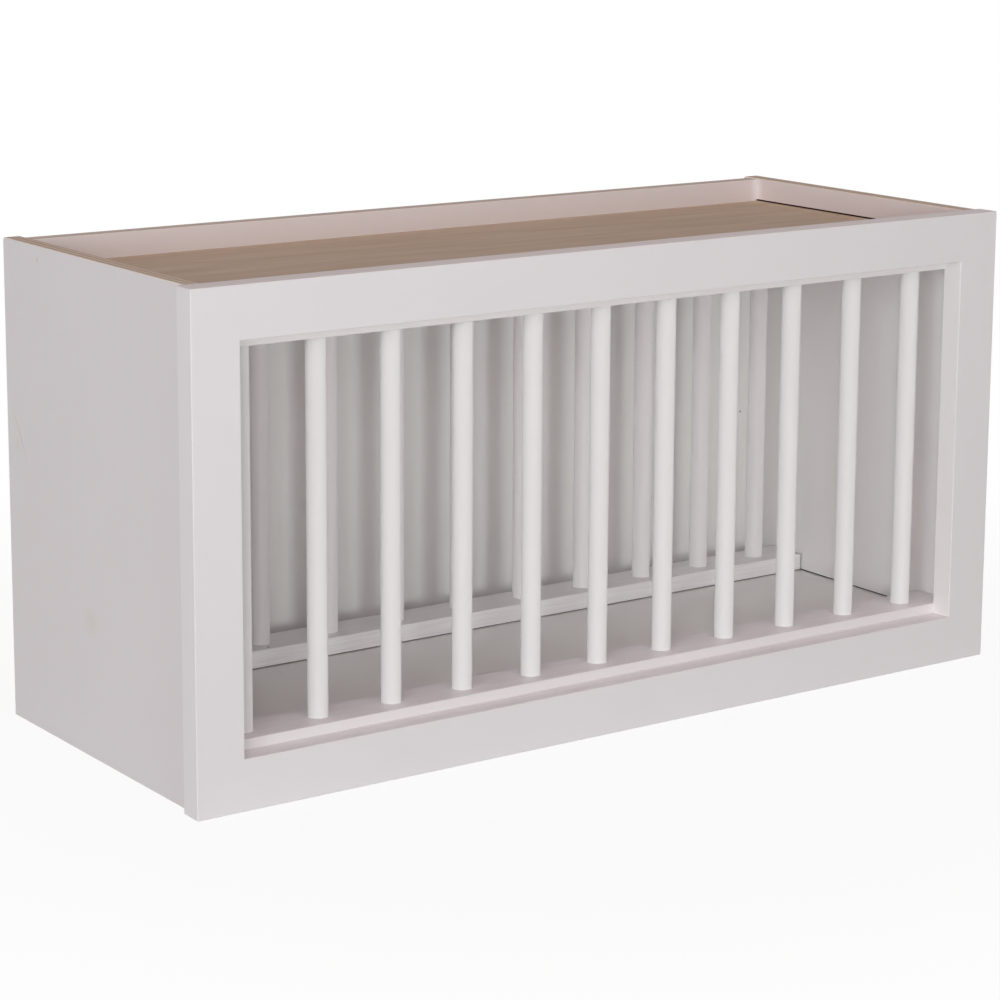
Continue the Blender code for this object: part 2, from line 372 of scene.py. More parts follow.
# %% Lacquer
FRAME_PAINT = ("#ddd9db", "#dad6d8")
FRAME_TOP_SHADE_PAINT = ("#dccdcd", "#d8c9c8")
STILE_EDGE_LIT_PAINT = ("#e3e1e3", "#e0dee0")
OPENING_LIT_PAINT = ("#ebe8e9", "#e9e5e6")
RAIL_PAINT, RAIL_STREAK = ("#f6f2f4", "#f4eff1"), "#e2d3d7"
RAIL_EDGE_SHADE_PAINT = ("#e0dddd", "#dedada")
DOWEL_PAINT = ("#e1dedf", "#dfdcdd")
REAR_DOWEL_LIT_PAINT = ("#efebeb", "#ede9e9")
LINING_PAINT = ("#f3f0ef", "#f0edec")
SIDE_LINING_PAINT = ("#f5f2f1", "#f3efee")
SATIN, LOW_SHEEN = 0.28, 0.38
# The orange peel has a usual size. The ridges and streaks are drawn wider than real grain, which is too fine
# to show in a picture of the whole rack.
PEEL_SIZE = 1.8 * MM
GRAIN_WIDTH = 2.2 * MM
GRAIN_STRETCH = 40.0
CLOUD_SIZE = 90 * MM
STREAK_WIDTH = 1.1 * MM
STREAK_SHARE = 0.45
STREAK_FROM, STREAK_TO = 0.42, 0.70
RIDGE_HEIGHT, RIDGE_STRENGTH = 0.05 * MM, 0.12
PEEL_HEIGHT, PEEL_STRENGTH = 0.03 * MM, 0.10
LACQUER_IOR = 1.48


def lacquer(name, grain_axis, colours, roughness, marks=(), streak=None, shaded_above=None, ends=None):
    """Satin lacquer: noise stretched along the grain axis for the ridges, round noise for the orange peel.

    colours is a (light, dark) pair, and streak the colour of fine lines along the grain. shaded_above is the
    height above which the recess's painted shade starts, and ends is how far out in X the paint goes before a
    joint's painted shade.
    """
    material, tree, shader = new_material(name)
    place = add(tree, "TexCoord").outputs["Object"]
    grain = [1 / GRAIN_WIDTH] * 3
    grain[grain_axis] /= GRAIN_STRETCH
    ridges = stretched(tree, place, grain, detail=3.0, roughness=0.6)
    peel = stretched(tree, place, [1 / PEEL_SIZE] * 3, detail=1.0)
    clouds = stretched(tree, place, [1 / CLOUD_SIZE] * 3, detail=2.0)
    mix = {0: clouds, 6: linear(colours[0]), 7: linear(colours[1])}
    tone = add(tree, "Mix", mix, data_type="RGBA").outputs[2]
    if streak:
        fine = [1 / STREAK_WIDTH] * 3
        fine[grain_axis] /= GRAIN_STRETCH
        lines = stretched(tree, place, fine, detail=3.0, roughness=0.6)
        sunk = {"Value": lines, "From Min": STREAK_FROM, "From Max": STREAK_TO, "To Max": STREAK_SHARE}
        mix = {0: add(tree, "MapRange", sunk).outputs[0], 6: tone, 7: linear(streak)}
        tone = add(tree, "Mix", mix, data_type="RGBA").outputs[2]
    if shaded_above:
        tone = painted_recess_shade(tree, place, tone, shaded_above)
    if ends:
        tone = shaded_ends(tree, place, tone, ends)
    first = add(tree, "Bump", {"Height": ridges, "Strength": RIDGE_STRENGTH, "Distance": RIDGE_HEIGHT})
    second = add(tree, "Bump", {"Height": peel, "Strength": PEEL_STRENGTH, "Distance": PEEL_HEIGHT})
    tree.links.new(first.outputs[0], second.inputs["Normal"])
    tree.links.new(marked(tree, place, tone, marks), shader.inputs["Base Color"])
    tree.links.new(second.outputs[0], shader.inputs["Normal"])
    shader.inputs["Roughness"].default_value = roughness
    shader.inputs["IOR"].default_value = LACQUER_IOR
    return material


# The marks were read off the photograph: on the left side the filler over a brad, a scratch and two pale
# stains, a speck on the rear rail, a painted highlight in the case's upper back corners, and a speck on the
# back.
SIDE_X = -374.65 * MM
SCRATCH_TURN = math.radians(-31)
SIDE_MARKS = [
    ((SIDE_X, 94.2 * MM, 370.3 * MM), 0, (2 * MM, 2.2 * MM, 3.2 * MM), "#b3aba6", 0.28),
    ((SIDE_X, 130.3 * MM, 228.1 * MM), SCRATCH_TURN, (2 * MM, 1.4 * MM, 25 * MM), "#cda9a2", 0.32),
    ((SIDE_X, 135.5 * MM, 221.0 * MM), 0, (2 * MM, 4 * MM, 6 * MM), "#cfc6a2", 0.22),
    ((SIDE_X, 18.3 * MM, 106.5 * MM), 0, (2 * MM, 13 * MM, 12 * MM), "#cdc8ae", 0.22),
]
RAIL_MARKS = [((-193.8 * MM, 65.2 * MM, 46.7 * MM), 0, (1.5 * MM, 1.9 * MM, 1.5 * MM), "#4a4542", 0.95)]
BACK_Y = 133.35 * MM
CORNER_HIGHLIGHT_SIZES = (8 * MM, 8 * MM, 34 * MM)
CORNER_HIGHLIGHTS = [
    ((361.95 * MM, BACK_Y, 371 * MM), 0, CORNER_HIGHLIGHT_SIZES, "#f9f5f5", 0.5),
    ((-361.95 * MM, BACK_Y, 371 * MM), 0, CORNER_HIGHLIGHT_SIZES, "#f9f5f5", 0.5),
]
LINING_MARKS = [
    ((347.5 * MM, BACK_Y, 167.5 * MM), 0, (1.3 * MM, 1.3 * MM, 1.3 * MM), "#6d6460", 0.8),
    *CORNER_HIGHLIGHTS,
]

# The frame and the sides' outer faces are a faintly pink white with a soft sheen. The grain runs along each
# board, so uprights and level boards have a lacquer each.
frame_lacquer_upright = lacquer("sprayed_lacquer_on_upright_maple", 2, FRAME_PAINT, LOW_SHEEN)
frame_lacquer_level = lacquer("sprayed_lacquer_on_level_maple", 0, FRAME_PAINT, LOW_SHEEN)
side_lacquer = lacquer("sprayed_lacquer_on_birch_ply", 2, FRAME_PAINT, LOW_SHEEN, SIDE_MARKS)
# The frame's top edge is painted darker and pinkish, as painted shade. The stiles' outer edges and the edges of
# the opening are painted a little lighter than the faces, as painted light, to match how they look in the
# photograph.
shaded_frame_top_lacquer = lacquer("shaded_lacquer_on_the_frame_top", 0, FRAME_TOP_SHADE_PAINT, LOW_SHEEN)
lit_stile_edge_lacquer = lacquer("paler_lacquer_on_the_stile_edge", 2, STILE_EDGE_LIT_PAINT, LOW_SHEEN)
lit_opening_lacquer = lacquer("paler_lacquer_on_the_opening", 0, OPENING_LIT_PAINT, LOW_SHEEN)
# Inside the case the paint is smoother, and painted paler as painted bounce light, which keeps the back, the
# decks and the sides light in the shade.
deck_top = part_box("top_panel")[1].z
side_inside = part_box("right_side_panel")[0].x
side_lining = lacquer(
    "paler_lacquer_inside_the_sides", 2, SIDE_LINING_PAINT, SATIN, CORNER_HIGHLIGHTS, shaded_above=deck_top
)
lining_lacquer = lacquer(
    "paler_lacquer_inside_the_case", 0, LINING_PAINT, SATIN, LINING_MARKS, shaded_above=deck_top, ends=side_inside
)
# The rails look like open-grained solid wood: fine pinkish lines run along them, and their ends are painted
# dark just before the side panels, as painted shade. Their faces are painted pale, and the front rails' edges a
# little darker, as painted light and shade.
RAIL_END_GAP = 0.6 * MM
rail_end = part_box("rear_lower_dowel_rail")[1].x - RAIL_END_GAP
rail_lacquer = lacquer("lacquer_on_rail_face", 0, RAIL_PAINT, SATIN, RAIL_MARKS, RAIL_STREAK, ends=rail_end)
shaded_rail_edge_lacquer = lacquer(
    "shaded_lacquer_on_front_rail_edge", 0, RAIL_EDGE_SHADE_PAINT, SATIN, streak=RAIL_STREAK, ends=rail_end
)
# A dowel in the photograph is nearly as bright at its sides as in its middle. A rough body under the gloss
# flattens the shading in that way.
DOWEL_BODY_ROUGHNESS = 0.8
dowel_lacquer = lacquer("sprayed_lacquer_on_birch_dowel", 2, DOWEL_PAINT, SATIN)
# The rear dowels are painted paler than the front ones, as painted bounce light deep in the case.
lit_rear_dowel_lacquer = lacquer("paler_lacquer_on_rear_birch_dowel", 2, REAR_DOWEL_LIT_PAINT, SATIN)
for material in (dowel_lacquer, lit_rear_dowel_lacquer):
    paint_inputs = material.node_tree.nodes["Principled BSDF"].inputs
    paint_inputs["Diffuse Roughness"].default_value = DOWEL_BODY_ROUGHNESS
print("lacquers", [m.name for m in bpy.data.materials if "lacquer" in m.name])

# %% [markdown]
# The top of the case is left bare: sanded birch veneer, peeled from the log, with soft long figure, fine
# fibres along the board and short dark pores. A photograph of wood would do, but noise stretched along the
# grain fits any size of board, and every board gets its own figure.

# %% Bare wood
VENEER_LIGHT = "#e1ccb6"
VENEER_DARK = "#cab196"
PORE = "#a58b72"
# Real birch fibres and pores are a tenth of a millimetre wide or less. They are drawn coarser, because finer
# ones don't show in a picture of the whole rack.
FIBRE_WIDTH, FIBRE_LENGTHS = 0.9 * MM, 60
FIGURE_WIDTH, FIGURE_LENGTHS = 14 * MM, 9
PORE_WIDTH, PORE_LENGTHS = 0.6 * MM, 12
FIBRE_WEIGHT = 0.8
FIGURE_WAVE = 0.6
TONE_FROM, TONE_TO = 0.55, 1.25
PORE_FROM, PORE_TO, PORE_SHARE = 0.66, 0.74, 0.35
FIBRE_HEIGHT, FIBRE_STRENGTH = 0.06 * MM, 0.25
VENEER_ROUGHNESS = 0.72


def along_x(width, lengths):
    """The scale of a noise that is stretched along X by a number of its widths."""
    return (1 / (width * lengths), 1 / width, 1 / width)


def bare_veneer(name, marks=(), ends=None):
    """Birch veneer with its grain along X: stretched noises, fine for the fibres and broad for the figure."""
    material, tree, shader = new_material(name)
    place = add(tree, "TexCoord").outputs["Object"]
    fibres = stretched(tree, place, along_x(FIBRE_WIDTH, FIBRE_LENGTHS), detail=4.0, roughness=0.65)
    figure = stretched(tree, place, along_x(FIGURE_WIDTH, FIGURE_LENGTHS), detail=3.0, distortion=FIGURE_WAVE)
    pores = stretched(tree, place, along_x(PORE_WIDTH, PORE_LENGTHS), detail=2.0)
    both = add(tree, "Math", {0: fibres, 1: FIBRE_WEIGHT, 2: figure}, operation="MULTIPLY_ADD")
    share = add(tree, "MapRange", {"Value": both.outputs[0], "From Min": TONE_FROM, "From Max": TONE_TO})
    mix = {0: share.outputs[0], 6: linear(VENEER_LIGHT), 7: linear(VENEER_DARK)}
    tone = add(tree, "Mix", mix, data_type="RGBA").outputs[2]
    dark = {"Value": pores, "From Min": PORE_FROM, "From Max": PORE_TO, "To Max": PORE_SHARE}
    mix = {0: add(tree, "MapRange", dark).outputs[0], 6: tone, 7: linear(PORE)}
    toned = add(tree, "Mix", mix, data_type="RGBA").outputs[2]
    if ends:
        toned = shaded_ends(tree, place, toned, ends)
    bump = add(tree, "Bump", {"Height": fibres, "Strength": FIBRE_STRENGTH, "Distance": FIBRE_HEIGHT})
    tree.links.new(marked(tree, place, toned, marks), shader.inputs["Base Color"])
    tree.links.new(bump.outputs[0], shader.inputs["Normal"])
    shader.inputs["Roughness"].default_value = VENEER_ROUGHNESS
    return material


# Knots show in the bare top panel as two small brown spots near its right end.
KNOT, KNOT_SHARE = "#7d6450", 0.7
KNOT_MARKS = [
    ((353.5 * MM, 14.0 * MM, 360.7 * MM), 0, (2.2 * MM, 1.6 * MM, 1.5 * MM), KNOT, KNOT_SHARE),
    ((344.5 * MM, -8.0 * MM, 360.7 * MM), 0, (2.6 * MM, 1.8 * MM, 1.5 * MM), KNOT, KNOT_SHARE),
]
# Warm and matt: the long figure gives soft bands, the fibres a silky direction, the pores short dark ticks.
veneer = bare_veneer("sanded_birch_veneer", KNOT_MARKS, side_inside)

# %% [markdown]
# The edges of the plywood are bare too. The saw meets every other ply end-on, and there it looks darker and
# coarser. The plies could be modelled, but the coordinate across the board, counted in pairs of plies, tells
# which kind of ply a place is in. A little noise bends the stripes, as real plies bend.

# %% Plywood edges
LONG_PLY, CROSS_PLY = ("#f2e2d2", "#e8d5c2"), ("#dcc7b2", "#c6af98")
BACK_LONG_PLY, BACK_CROSS_PLY = ("#f8efe6", "#f2e6da"), ("#ead9cb", "#dac9ba")
PLY_THICKNESS = 2.54 * MM
PLY_WANDER, WANDER_SCALE = 0.5 * MM, 30.0
PLY_CHANGE_FROM, PLY_CHANGE_TO = 0.46, 0.54
# Streaks and specks stand for cut fibres, and are drawn coarser for the same reason as in the veneer.
PLY_STREAK_WIDTH, PLY_STREAK_LENGTHS = 0.7 * MM, 14
SPECK_SIZE = 1.1 * MM
SPECK_HEIGHT, SPECK_STRENGTH = 0.1 * MM, 0.4
PLY_ROUGHNESS = 0.85


def ply_edge(name, across, long_colours=LONG_PLY, cross_colours=CROSS_PLY):
    """The cut edge of plywood. across is the axis through the plies, and colours are (light, dark) pairs."""
    material, tree, shader = new_material(name)
    place = add(tree, "TexCoord").outputs["Object"]
    parts = add(tree, "SeparateXYZ", {0: place})
    wander = add(tree, "TexNoise", {"Vector": place, "Scale": WANDER_SCALE, "Detail": 1.0})
    bend = {0: wander.outputs["Fac"], 1: PLY_WANDER, 2: parts.outputs[across]}
    shifted = add(tree, "Math", bend, operation="MULTIPLY_ADD")
    pair = add(tree, "Math", {0: shifted.outputs[0], 1: 2 * PLY_THICKNESS}, operation="DIVIDE")
    phase = add(tree, "Math", {0: pair.outputs[0]}, operation="FRACT")
    change = {"Value": phase.outputs[0], "From Min": PLY_CHANGE_FROM, "From Max": PLY_CHANGE_TO}
    crossed = add(tree, "MapRange", change)
    streak = [1 / (PLY_STREAK_WIDTH * PLY_STREAK_LENGTHS)] * 3
    streak[across] = 1 / PLY_STREAK_WIDTH
    streaks = stretched(tree, place, streak, detail=3.0)
    specks = stretched(tree, place, [1 / SPECK_SIZE] * 3, detail=3.0, roughness=0.7)
    plies = []
    for pattern, (light, dark) in ((streaks, long_colours), (specks, cross_colours)):
        mix = {0: pattern, 6: linear(light), 7: linear(dark)}
        plies.append(add(tree, "Mix", mix, data_type="RGBA").outputs[2])
    bump = add(tree, "Bump", {"Height": specks, "Strength": SPECK_STRENGTH, "Distance": SPECK_HEIGHT})
    mix = {0: crossed.outputs[0], 6: plies[0], 7: plies[1]}
    tree.links.new(add(tree, "Mix", mix, data_type="RGBA").outputs[2], shader.inputs["Base Color"])
    tree.links.new(bump.outputs[0], shader.inputs["Normal"])
    shader.inputs["Roughness"].default_value = PLY_ROUGHNESS
    return material


# The stripes give the thin raw line round the painted case. Those of the back are paler.
edge_x = ply_edge("sawn_ply_edge_of_the_sides", 0)
edge_y = ply_edge("sawn_ply_edge_of_the_back", 1, BACK_LONG_PLY, BACK_CROSS_PLY)
edge_z = ply_edge("sawn_ply_edge_of_the_decks", 2)

# %% [markdown]
# Inside a groove the wood is painted a near-black brown, as painted shade, so that a slot of about a millimetre
# shows only as a near-black line. A mottle and hardly any gloss are enough.

# %% Painted shade in the grooves
JOINT_SHADE_MOTTLE = "#4c3222"
JOINT_SHADE_ROUGHNESS = 0.9
JOINT_SHADE_GLOSS = 0.2


def joint_shade(name):
    """Painted shade in a groove: near black, with a fine mottle."""
    material, tree, shader = new_material(name)
    place = add(tree, "TexCoord").outputs["Object"]
    mottle = stretched(tree, place, [1 / SPECK_SIZE] * 3, detail=3.0)
    mix = {0: mottle, 6: linear(JOINT_SHADE), 7: linear(JOINT_SHADE_MOTTLE)}
    tree.links.new(add(tree, "Mix", mix, data_type="RGBA").outputs[2], shader.inputs["Base Color"])
    shader.inputs["Roughness"].default_value = JOINT_SHADE_ROUGHNESS
    shader.inputs["Specular IOR Level"].default_value = JOINT_SHADE_GLOSS
    return material


groove_shade = joint_shade("painted_shade_in_ply_groove")
print("bare woods", [m.name for m in bpy.data.materials if "ply_" in m.name or "veneer" in m.name])

# %% [markdown]
# ## Cutting holes
# Grooves are cut with a Boolean from boxes, and sockets and pocket holes from turned shapes, each a profile
# of radius and height spun round an axis. The holes could be left out where nothing shows them, but then a
# dowel and its rail would overlap. An exact Boolean keeps the cut boards closed.


# %% Cutters and cuts
SHARP_ANGLE = math.radians(35)


def box_cutter(name, low, high):
    """A closed box: corner k takes its x, y and z from the high or the low corner by the three bits of k."""
    bits = (np.arange(8)[:, None] >> np.arange(3)) & 1
    points = np.where(bits == 1, np.asarray(high, float), np.asarray(low, float))
    around = [[0, 2, 3, 1], [4, 5, 7, 6], [0, 1, 5, 4], [2, 6, 7, 3], [0, 4, 6, 2], [1, 3, 7, 5]]
    return mesh_piece(name, points, np.array(around), smooth=False)


def round_z(radius, angle, height):
    """Rings of points about the Z axis: (radius x cos angle, radius x sin angle, height)."""
    return np.stack(np.broadcast_arrays(radius * np.cos(angle), radius * np.sin(angle), height), axis=2)


def turned(name, profile, sides, to_world=None):
    """A closed turned shape: (r cos a, r sin a, h) for the profile's (r, h), foot first, and each angle a."""
    profile = np.asarray(profile, float)
    angle = np.linspace(0, 2 * math.pi, sides, endpoint=False)
    points = round_z(profile[:, :1], angle, profile[:, 1:]).reshape(-1, 3)
    quads = ring_faces(len(profile), sides, closed=False)
    last = (len(profile) - 1) * sides
    caps = [np.arange(sides)[::-1], last + np.arange(sides)]
    piece = mesh_piece(name, points, quads, caps)
    if to_world is not None:
        piece.data.transform(to_world)
    return piece


def join(pieces):
    """Puts the meshes of several pieces into the first one."""
    shape = bmesh.new()
    for piece in pieces:
        shape.from_mesh(piece.data)
    shape.to_mesh(pieces[0].data)
    shape.free()
    for piece in pieces[1:]:
        bpy.data.objects.remove(piece)
    return pieces[0]


def cut(piece, cutter):
    """Takes the cutter's shape out of a piece, keeps the result as plain mesh, and removes the cutter."""
    modifier = piece.modifiers.new("cut", "BOOLEAN")
    modifier.object = cutter
    modifier.solver = "EXACT"
    bpy.context.view_layer.update()
    evaluated = piece.evaluated_get(bpy.context.evaluated_depsgraph_get())
    mesh = bpy.data.meshes.new_from_object(evaluated)
    piece.modifiers.clear()
    piece.data = mesh
    mesh.shade_smooth()
    mesh.set_sharp_from_angle(angle=SHARP_ANGLE)
    bpy.data.objects.remove(cutter)


# %% [markdown]
# ## The case
# Two sides, a back and two decks. The boards are cut square and only broken at the edges with sandpaper, so
# the easing is small and its wood is bare. The sides' upper back corners are rounded a little more, as in the
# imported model. The decks stand in grooves that are a little too high for them, which is taken to be what
# makes the thin black lines at the right in the photograph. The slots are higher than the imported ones, so
# that they show.

# %% Sides, back and decks
PLY_EASE = 0.35 * MM
BACK_EASE = 0.12 * MM
GLUE_LINE = 0.3 * MM
CORNER_ROUND = 3.0 * MM
ROUND_SIDE = (0, 0, CORNER_ROUND, 0)

# GROOVE_FIT is the clearance below, behind and beyond a deck's end, and GROOVE_PLAY the slot above each deck.
GROOVE_FIT = 0.3 * MM
GROOVE_PLAY = {"top_panel": 1.4 * MM, "bottom_panel": 1.0 * MM}
OVERRUN = 10 * MM


def grooved_side(name, node, side, materials):
    """A side board with a groove round each deck's end; side is -1 for the left one and 1 for the right."""
    groove_index = len(materials) - 1
    piece = board(name, node, 0, PLY_EASE, materials, ROUND_SIDE)
    side_low, side_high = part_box(node)
    inner = side_high.x if side < 0 else side_low.x
    for deck, play in GROOVE_PLAY.items():
        low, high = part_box(deck)
        bottom = (high.x + GROOVE_FIT) * side
        x_low, x_high = sorted((bottom, inner - side * OVERRUN))
        cutter = box_cutter(
            "groove",
            (x_low, side_low.y - OVERRUN, low.z - GROOVE_FIT),
            (x_high, high.y + GROOVE_FIT, high.z + play),
        )
        set_materials(cutter, [groove_shade] * len(materials), [groove_index] * len(cutter.data.polygons))
        cut(piece, cutter)
    return piece


left_finishes = [side_lacquer, edge_x, side_lining, groove_shade]
right_finishes = [side_lining, edge_x, side_lacquer, groove_shade]
back_finishes = [lining_lacquer, edge_y, veneer]
case_boards = [
    grooved_side("left_side_board", "left_side_panel", -1, left_finishes),
    grooved_side("right_side_board", "right_side_panel", 1, right_finishes),
    board("back_board", "back_panel", 1, BACK_EASE, back_finishes, reach=(GLUE_LINE, 0, 0)),
    board("top_deck_board", "top_panel", 2, PLY_EASE, [lining_lacquer, edge_z, veneer]),
    board("bottom_deck_board", "bottom_panel", 2, PLY_EASE, [veneer, edge_z, lining_lacquer]),
]
print("case boards", [(piece.name, len(piece.data.polygons)) for piece in case_boards])

# %% [markdown]
# ## The dowel rails and the dowels
# The rails are flat boards with eleven blind holes each. They are glued to the decks by one face, whose
# easing is painted dark, as painted shade in the glue line. The holes are as deep as the imported dowels reach.
# One cutter with eleven shapes makes them all in a single Boolean.

# %% Dowel rails with their sockets
RAIL_EASE = 0.5 * MM
DOWEL_SIDES = 48
SOCKET_GAP = 0.05 * MM
COUNT = 11


def dowel_place(node):
    """Middle (x, y), radius, foot and head of a dowel's node."""
    low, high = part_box(node)
    return (low + high) / 2, (high.x - low.x) / 2, low.z, high.z


def make_rail(row, level):
    """One dowel rail with eleven blind sockets, each as deep as its dowel reaches."""
    node = f"{row}_{level}_dowel_rail"
    edge = shaded_rail_edge_lacquer if row == "front" else rail_lacquer
    joint = "low" if level == "lower" else "high"
    finishes = [rail_lacquer, edge, rail_lacquer, groove_shade]
    piece = board(node + "_board", node, 2, RAIL_EASE, finishes, joint=joint)
    low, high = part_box(node)
    cutters = []
    for number in range(1, COUNT + 1):
        middle, radius, foot, head = dowel_place(f"{row}_dowel_{number:02d}")
        if level == "lower":
            bottom, top = foot - SOCKET_GAP, high.z + radius
        else:
            bottom, top = low.z - radius, head + SOCKET_GAP
        wall = radius + SOCKET_GAP
        at = Matrix.Translation((middle.x, middle.y, 0))
        cutters.append(turned(f"socket_{number}", [(wall, bottom), (wall, top)], DOWEL_SIDES, at))
    cut(piece, join(cutters))
    return piece


rails = [make_rail(row, level) for row in ("front", "rear") for level in ("lower", "upper")]
print("rail faces", [len(rail.data.polygons) for rail in rails])

# %% [markdown]
# The dowels are turned, glued into the holes and painted in place, so a little paint gathers where a dowel
# enters its rail. A plain cylinder would meet its rail in a line too hard for paint, so each dowel is a
# turned profile with a small flare at both rails.

# %% Dowels
PAINT_FILLET = 0.45 * MM
FILLET_STEPS = 4
DOWEL_CHAMFER = 4 * PAINT_FILLET


def dowel_profile(radius, foot, head, floor, ceiling):
    """(radius, height) rows: chamfered ends, the shaft, and a quarter-circle flare of paint at each rail."""
    turn = np.linspace(0, math.pi / 2, FILLET_STEPS + 1)
    flare = radius + PAINT_FILLET * (1 - np.sin(turn))
    rise = PAINT_FILLET * (1 - np.cos(turn))
    narrow = radius - DOWEL_CHAMFER
    lower = [(narrow, foot), (radius, foot + DOWEL_CHAMFER), (radius, floor + SOCKET_GAP)]
    lower += list(zip(flare, floor + SOCKET_GAP + rise))
    upper = list(zip(flare[::-1], ceiling - SOCKET_GAP - rise[::-1]))
    upper += [(radius, ceiling - SOCKET_GAP), (radius, head - DOWEL_CHAMFER), (narrow, head)]
    return lower + upper


for row in ("front", "rear"):
    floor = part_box(f"{row}_lower_dowel_rail")[1].z
    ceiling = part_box(f"{row}_upper_dowel_rail")[0].z
    for number in range(1, COUNT + 1):
        node = f"{row}_dowel_{number:02d}"
        middle, radius, foot, head = dowel_place(node)
        profile = dowel_profile(radius, foot, head, floor, ceiling)
        at = Matrix.Translation((middle.x, middle.y, 0))
        dowel = turned(node + "_turned", profile, DOWEL_SIDES, at)
        dowel.data.set_sharp_from_angle(angle=SHARP_ANGLE)
        set_materials(dowel, [dowel_lacquer if row == "front" else lit_rear_dowel_lacquer])
        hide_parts(node)
print("dowel rows", len(profile), "radius", round(radius / MM, 2), "mm")

# %% [markdown]
# ## The face frame
# Its four boards are glued, screwed, sanded level and painted, so no joint shows. Four separate pieces would
# show gaps there, so the frame is one surface: nested rectangles that step round the section of the board,
# over the front to the opening and back. It reaches onto the case, because the glue line would let light in.

# %% Face frame
FRAME_EASE = 0.5 * MM
FRAME_CORNER = 1.0 * MM
REAR_EASE_SHARE = 0.25

left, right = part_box("left_stile"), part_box("right_stile")
top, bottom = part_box("top_rail"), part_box("bottom_rail")
front_y, rear_y = left[0].y, left[1].y + GLUE_LINE
outer_low, outer_high = (left[0].x, left[0].z), (right[1].x, left[1].z)
inner_low, inner_high = (left[1].x, bottom[1].z), (right[0].x, top[0].z)


def frame_ring(edge, inset, y):
    """One rectangle of the frame: an inset from the outer edge, or out from the opening's edge."""
    if edge == "outer":
        flat = outline(outer_low, outer_high, [FRAME_CORNER] * 4, inset)
    else:
        away = np.array([inset, inset])
        flat = outline(np.array(inner_low) - away, np.array(inner_high) + away, [POINT_RADIUS] * 4)
    return np.stack([flat[:, 0], np.full(len(flat), y), flat[:, 1]], axis=1)


def frame_rows():
    """The section's rows as (edge, inset, y): over the front from the outside in, and back behind it."""
    turn = np.linspace(0, math.pi / 2, EASE_STEPS + 1)
    insets = np.concatenate([[0.0], FRAME_EASE * (1 - np.cos(turn)), [FRAME_EASE + SUPPORT]])
    depths = np.concatenate([[FRAME_EASE + SUPPORT], FRAME_EASE * (1 - np.sin(turn)), [0.0]])
    outward, inward = list(zip(insets, depths)), list(zip(insets[::-1], depths[::-1]))
    rows = [("outer", i, front_y + d) for i, d in outward]
    rows += [("inner", i, front_y + d) for i, d in inward]
    rows += [("inner", i * REAR_EASE_SHARE, rear_y - d * REAR_EASE_SHARE) for i, d in outward]
    rows += [("outer", i * REAR_EASE_SHARE, rear_y - d * REAR_EASE_SHARE) for i, d in inward]
    return rows


rings = [frame_ring(*row) for row in frame_rows()]
face_frame = mesh_piece(
    "painted_face_frame", np.concatenate(rings), ring_faces(len(rings), len(rings[0]), closed=True)
)
face_outwards(face_frame)

# %% [markdown]
# Stiles and rails have their own grain direction. The edges of the opening, its sill and the stiles' outer
# edges get paler paint, as painted light, and the top edge darker pinkish paint, as painted shade. Each could
# be a piece, but the frame is one surface, so its faces are sorted by where their middles lie.

# %% The frame's paint
UPRIGHT, LEVEL, OPENING, SILL, TOP_EDGE, STILE_EDGE = range(6)
paints = [
    frame_lacquer_upright,
    frame_lacquer_level,
    lit_opening_lacquer,
    rail_lacquer,
    shaded_frame_top_lacquer,
    lit_stile_edge_lacquer,
]
centres = np.zeros(len(face_frame.data.polygons) * 3)
face_frame.data.polygons.foreach_get("center", centres)
x, y, z = centres.reshape(-1, 3).T
within = np.abs(x) < inner_high[0] + SUPPORT
inside = within & (z > inner_low[1] - SUPPORT) & (z < inner_high[1] + SUPPORT)
behind = y > front_y + FRAME_EASE / 2
outside = (np.abs(x) > outer_high[0] - SUPPORT) & (y < rear_y - SUPPORT)
finish = np.where(np.abs(x) < inner_high[0], LEVEL, UPRIGHT)
finish = np.where(inside & behind, OPENING, finish)
finish = np.where(inside & behind & (z < inner_low[1] + SUPPORT), SILL, finish)
finish = np.where(behind & (z > outer_high[1] - SUPPORT), TOP_EDGE, finish)
finish = np.where(behind & outside, STILE_EDGE, finish)
set_materials(face_frame, paints, finish)
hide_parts("left_stile", "right_stile", "top_rail", "bottom_rail")
print("frame faces", len(face_frame.data.polygons))

# %% [markdown]
# ## Pocket screws
# Two screws at each corner pull the frame together. They sit in long slanted pockets at the back of the
# rails, which show from behind. A thread could be a Screw modifier on a small section, but that doesn't close
# at the tip and under the head. Here a screw is one surface over angle and length: its radius follows a
# thread that climbs one pitch a turn, and the head is a low dome with a square recess.

# %% Screws and their pockets
POCKET_ANGLE = math.radians(15)
SEAT_SETBACK = 15.9 * MM
POCKET_RADIUS = 4.75 * MM
SCREW_LENGTH = 32 * MM
CORE_RADIUS = 1.35 * MM
THREAD_DEPTH = 0.6 * MM
THREAD_PITCH = 2.1 * MM
TIP = 5 * MM
HEAD_RADIUS = 4.1 * MM
HEAD_HEIGHT = 1.8 * MM
RECESS_HALF = 1.45 * MM
RECESS_DEPTH = 1.2 * MM
RECESS_SLOPE = 0.15 * MM
RIM_SHARE = 0.6
THREAD_SHARPNESS = 4
TIP_SHARE = 0.02
CROWN_EDGE, CROWN_MIDDLE, CROWN_ROWS = 0.97, 0.03, 28
SCREW_SIDES = 24
SCREW_ROWS = 120


